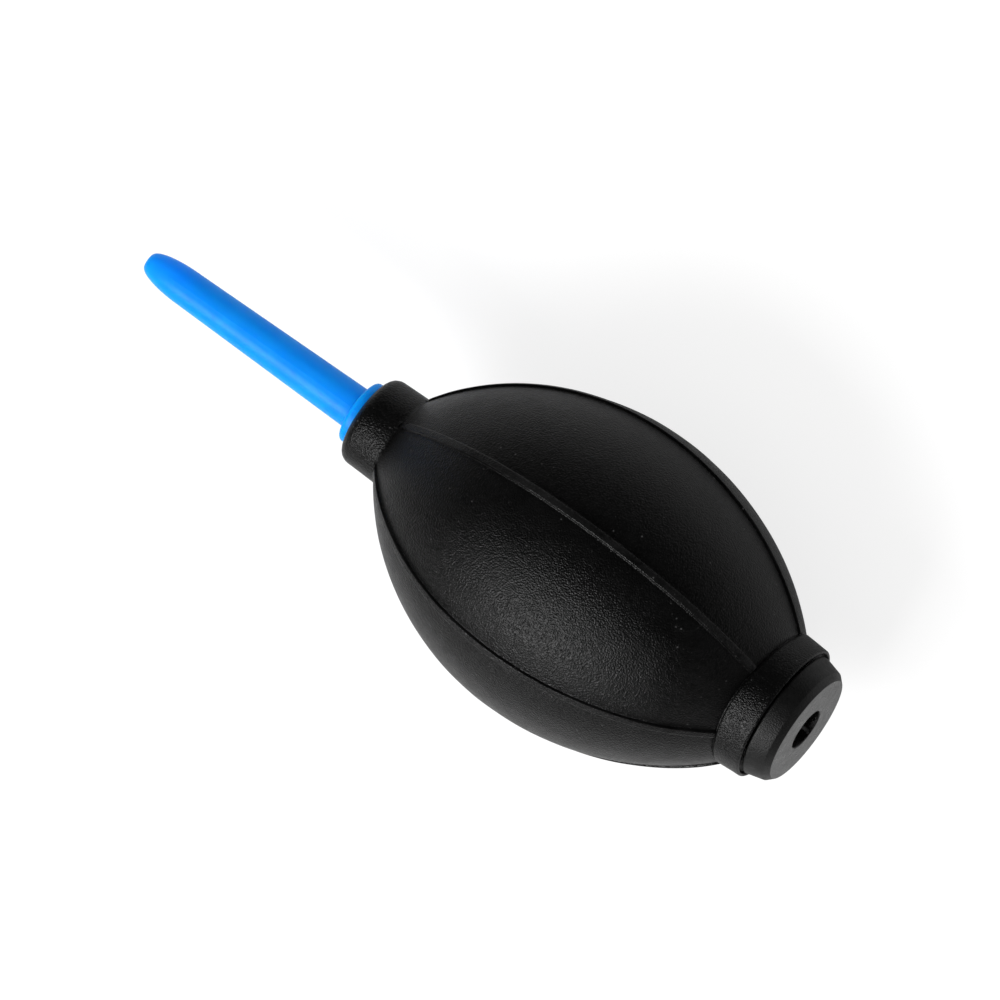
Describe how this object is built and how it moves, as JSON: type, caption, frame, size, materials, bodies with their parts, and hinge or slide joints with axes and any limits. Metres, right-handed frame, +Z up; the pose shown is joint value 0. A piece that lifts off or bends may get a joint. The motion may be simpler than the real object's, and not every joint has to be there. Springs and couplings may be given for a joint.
{
  "type": "dust blower bulb",
  "caption": "Hand air blower: ribbed rubber squeeze bulb with a long tapered nozzle in its neck and a one-way air inlet valve in its rear collar.",
  "frame": {"origin": "on the surface that the bulb lies on, under the middle of its length, on its axis in plan", "axes": "+X along the bulb's axis from the nozzle to the air inlet, +Z up, with the bulb lying on its belly"},
  "size_m": [0.15, 0.061, 0.0597],
  "materials": {
    "bulb_rubber": "satin, fine pebble grain",
    "nozzle_plastic": "satin",
    "plug_plastic": "matte",
    "disc_rubber": "matte",
    "retainer_plastic": "matte"
  },
  "bodies": {
    "bulb": {"rubber_bulb": "bulb_rubber"},
    "nozzle": {"nozzle": "nozzle_plastic"},
    "valve_end": {"valve_housing": "plug_plastic", "valve_retainer": "retainer_plastic"},
    "valve_disc": {"valve_disc": "disc_rubber"}
  },
  "joints": [
    {"name": "nozzle_pull", "type": "slide", "parent": "bulb", "child": "nozzle", "axis": [-1, 0, 0], "range_m": [0, 0.014]},
    {"name": "valve_end_squeeze", "type": "slide", "parent": "bulb", "child": "valve_end", "axis": [-1, 0, 0], "range_m": [0, 0.015], "stiffness_N_per_m": 1200, "deforming": ["rubber_bulb"]},
    {"name": "valve_disc_lift", "type": "slide", "parent": "valve_end", "child": "valve_disc", "axis": [-1, 0, 0], "range_m": [0, 0.0012]}
  ]
}
